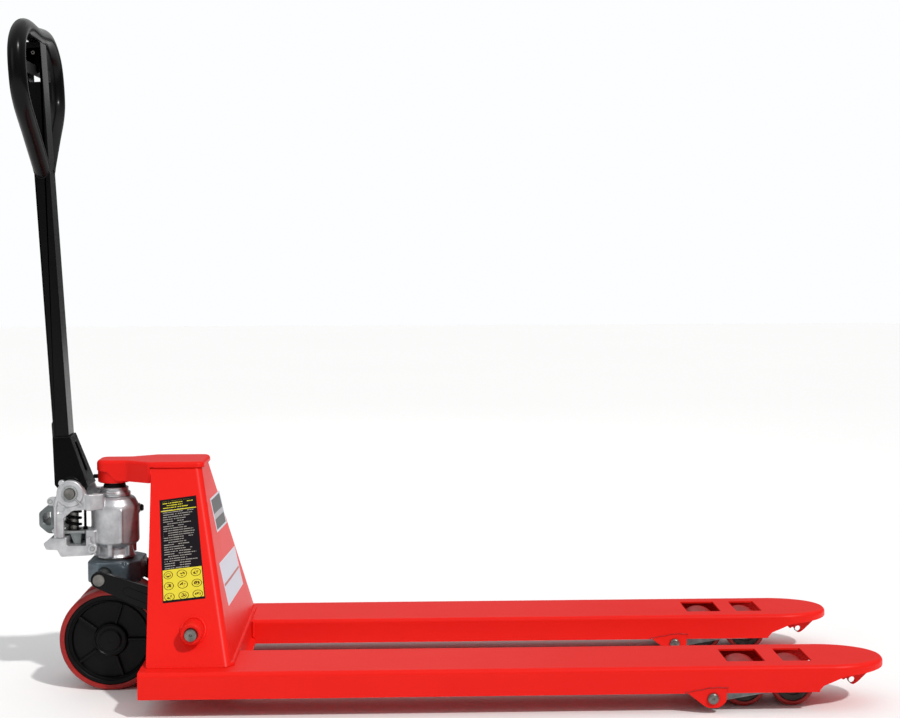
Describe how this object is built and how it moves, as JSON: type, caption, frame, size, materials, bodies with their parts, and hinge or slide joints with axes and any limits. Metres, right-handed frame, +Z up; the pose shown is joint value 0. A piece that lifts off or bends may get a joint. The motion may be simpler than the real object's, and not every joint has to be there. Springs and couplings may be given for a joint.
{
  "type": "hand pallet truck",
  "caption": "Hand pallet truck with two forks, a folded tower, a hydraulic lifting pump on steer wheels, a drawbar with grip loop and tandem load rollers.",
  "frame": {"origin": "centre of the footprint, on the floor", "axes": "+X towards the fork tips, +Y to the left across the forks, +Z up"},
  "size_m": [1.57, 0.562, 1.2432],
  "materials": {
    "red_paint": "gloss orange-red powder coat",
    "black_paint": "gloss black enamel",
    "cast_silver": "sand-cast alloy, lightly tumbled",
    "zinc": "dull zinc plate on forged steel",
    "steel": "ground steel",
    "grey_casting": "machined grey casting, oiled",
    "tyre_red": "moulded polyurethane tread",
    "nylon_black": "moulded nylon",
    "rubber_black": "matt rubber",
    "panel_dark": "printed vinyl",
    "panel_yellow": "printed vinyl",
    "panel_pale": "printed vinyl"
  },
  "bodies": {
    "frame": {"tower_shell": "red_paint", "cross_plate": "red_paint", "head_cap": "red_paint", "head_boss": "red_paint", "set_screw": "black_paint", "cross_shaft": "steel", "fork_left": "red_paint", "tip_lug_left": "red_paint", "roller_pin_left": "steel", "roller_bracket_left_outer": "red_paint", "roller_bracket_left_inner": "red_paint", "shaft_bush_left": "red_paint", "fork_right": "red_paint", "tip_lug_right": "red_paint", "roller_pin_right": "steel", "roller_bracket_right_outer": "red_paint", "roller_bracket_right_inner": "red_paint", "shaft_bush_right": "red_paint"},
    "rocker": {"rocker_tube": "black_paint", "rocker_arm_left": "black_paint", "trunnion_pin_left": "steel", "rocker_arm_right": "black_paint", "trunnion_pin_right": "steel"},
    "base": {"base_block": "grey_casting", "thrust_bearing": "steel"},
    "pump": {"pump_body": "cast_silver", "pump_gland": "cast_silver", "dust_seal": "rubber_black", "filler_plug": "steel", "valve_block": "cast_silver", "handle_axle": "steel", "wheel_axle": "steel", "plunger_spring": "black_paint"},
    "piston": {"piston": "steel"},
    "plunger": {"plunger": "steel"},
    "valve_lever": {"release_lever": "zinc", "release_link": "black_paint"},
    "pedal": {"release_pedal": "zinc"},
    "handle": {"drawbar": "black_paint", "grip_loop": "black_paint", "handle_foot": "black_paint", "release_rod": "zinc"},
    "trigger": {"finger_lever": "black_paint"},
    "steer_wheel_left": {"steer_wheel_core_left": "nylon_black", "steer_wheel_tyre_left": "tyre_red", "hub_cap_left": "nylon_black"},
    "lever_left": {"roller_lever_left": "zinc"},
    "bogie_left": {"roller_bogie_left": "zinc"},
    "rod_left": {"push_rod_left": "black_paint"},
    "roller_left_rear": {"load_roller_left_rear": "tyre_red"},
    "roller_left_front": {"load_roller_left_front": "tyre_red"},
    "steer_wheel_right": {"steer_wheel_core_right": "nylon_black", "steer_wheel_tyre_right": "tyre_red", "hub_cap_right": "nylon_black"},
    "lever_right": {"roller_lever_right": "zinc"},
    "bogie_right": {"roller_bogie_right": "zinc"},
    "rod_right": {"push_rod_right": "black_paint"},
    "roller_right_rear": {"load_roller_right_rear": "tyre_red"},
    "roller_right_front": {"load_roller_right_front": "tyre_red"}
  },
  "joints": [
    {"name": "lift", "type": "hinge", "parent": "frame", "child": "rocker", "pos_m": [-0.4626, 0, 0.144], "axis": [0, -1, 0], "range_deg": [0, 33.91]},
    {"name": "base_tilt", "type": "hinge", "parent": "rocker", "child": "base", "pos_m": [-0.6466, 0, 0.2165], "axis": [0, -1, 0], "range_deg": [-37.5, 0.5]},
    {"name": "steer", "type": "hinge", "parent": "base", "child": "pump", "pos_m": [-0.6346, 0, 0], "axis": [0, 0, 1], "range_deg": [-90, 90]},
    {"name": "piston_slide", "type": "slide", "parent": "pump", "child": "piston", "axis": [0, 0, 1], "range_m": [-0.0005, 0.1155]},
    {"name": "steer_wheel_left_spin", "type": "hinge", "parent": "pump", "child": "steer_wheel_left", "pos_m": [-0.6346, 0.051, 0.095], "axis": [0, 1, 0], "continuous": true},
    {"name": "steer_wheel_right_spin", "type": "hinge", "parent": "pump", "child": "steer_wheel_right", "pos_m": [-0.6346, -0.051, 0.095], "axis": [0, 1, 0], "continuous": true},
    {"name": "drawbar_tilt", "type": "hinge", "parent": "pump", "child": "handle", "pos_m": [-0.7086, 0, 0.369], "axis": [0, -1, 0], "range_deg": [0, 80], "stiffness_Nm_per_rad": 30, "springref_deg": -28.65},
    {"name": "plunger_slide", "type": "slide", "parent": "pump", "child": "plunger", "axis": [0, 0, -1], "range_m": [-0.0005, 0.0275], "deforming": ["plunger_spring"]},
    {"name": "trigger_swing", "type": "hinge", "parent": "handle", "child": "trigger", "pos_m": [-0.7666, 0, 1.18909], "axis": [0, 1, 0], "range_deg": [-9, 9], "stiffness_Nm_per_rad": 0.8},
    {"name": "valve_lever_swing", "type": "hinge", "parent": "pump", "child": "valve_lever", "pos_m": [-0.7006, 0, 0.254], "axis": [0, 1, 0], "range_deg": [-1.9, 1.9]},
    {"name": "pedal_swing", "type": "hinge", "parent": "pump", "child": "pedal", "pos_m": [-0.7406, 0, 0.297], "axis": [0, -1, 0], "range_deg": [0, 18], "stiffness_Nm_per_rad": 0.6, "springref_deg": -17.19},
    {"name": "lever_left_swing", "type": "hinge", "parent": "frame", "child": "lever_left", "pos_m": [0.4614, 0.195, 0.028], "axis": [0, 1, 0], "range_deg": [-0.5, 74]},
    {"name": "bogie_left_level", "type": "hinge", "parent": "lever_left", "child": "bogie_left", "pos_m": [0.5709, 0.195, 0.042], "axis": [0, 1, 0], "range_deg": [-74, 0.5]},
    {"name": "rod_left_level", "type": "hinge", "parent": "rocker", "child": "rod_left", "pos_m": [-0.48349, 0.175, 0.07551], "axis": [0, -1, 0], "range_deg": [-34.5, 0.5]},
    {"name": "roller_left_rear_spin", "type": "hinge", "parent": "bogie_left", "child": "roller_left_rear", "pos_m": [0.5269, 0.195, 0.04], "axis": [0, 1, 0], "continuous": true},
    {"name": "roller_left_front_spin", "type": "hinge", "parent": "bogie_left", "child": "roller_left_front", "pos_m": [0.6149, 0.195, 0.04], "axis": [0, 1, 0], "continuous": true},
    {"name": "lever_right_swing", "type": "hinge", "parent": "frame", "child": "lever_right", "pos_m": [0.4614, -0.195, 0.028], "axis": [0, 1, 0], "range_deg": [-0.5, 74]},
    {"name": "bogie_right_level", "type": "hinge", "parent": "lever_right", "child": "bogie_right", "pos_m": [0.5709, -0.195, 0.042], "axis": [0, 1, 0], "range_deg": [-74, 0.5]},
    {"name": "rod_right_level", "type": "hinge", "parent": "rocker", "child": "rod_right", "pos_m": [-0.48349, -0.175, 0.07551], "axis": [0, -1, 0], "range_deg": [-34.5, 0.5]},
    {"name": "roller_right_rear_spin", "type": "hinge", "parent": "bogie_right", "child": "roller_right_rear", "pos_m": [0.5269, -0.195, 0.04], "axis": [0, 1, 0], "continuous": true},
    {"name": "roller_right_front_spin", "type": "hinge", "parent": "bogie_right", "child": "roller_right_front", "pos_m": [0.6149, -0.195, 0.04], "axis": [0, 1, 0], "continuous": true}
  ],
  "couplings": [
    {"joint": "base_tilt", "follows": "lift", "ratio": -1.085},
    {"joint": "piston_slide", "follows": "lift", "m_per_rad": 0.19431},
    {"joint": "plunger_slide", "follows": "drawbar_tilt", "m_per_rad": 0.01934},
    {"joint": "valve_lever_swing", "follows": "trigger_swing", "ratio": 0.2},
    {"joint": "lever_left_swing", "follows": "lift", "ratio": 2.1666},
    {"joint": "bogie_left_level", "follows": "lift", "ratio": -2.1666},
    {"joint": "rod_left_level", "follows": "lift", "ratio": -1},
    {"joint": "lever_right_swing", "follows": "lift", "ratio": 2.1666},
    {"joint": "bogie_right_level", "follows": "lift", "ratio": -2.1666},
    {"joint": "rod_right_level", "follows": "lift", "ratio": -1}
  ]
}
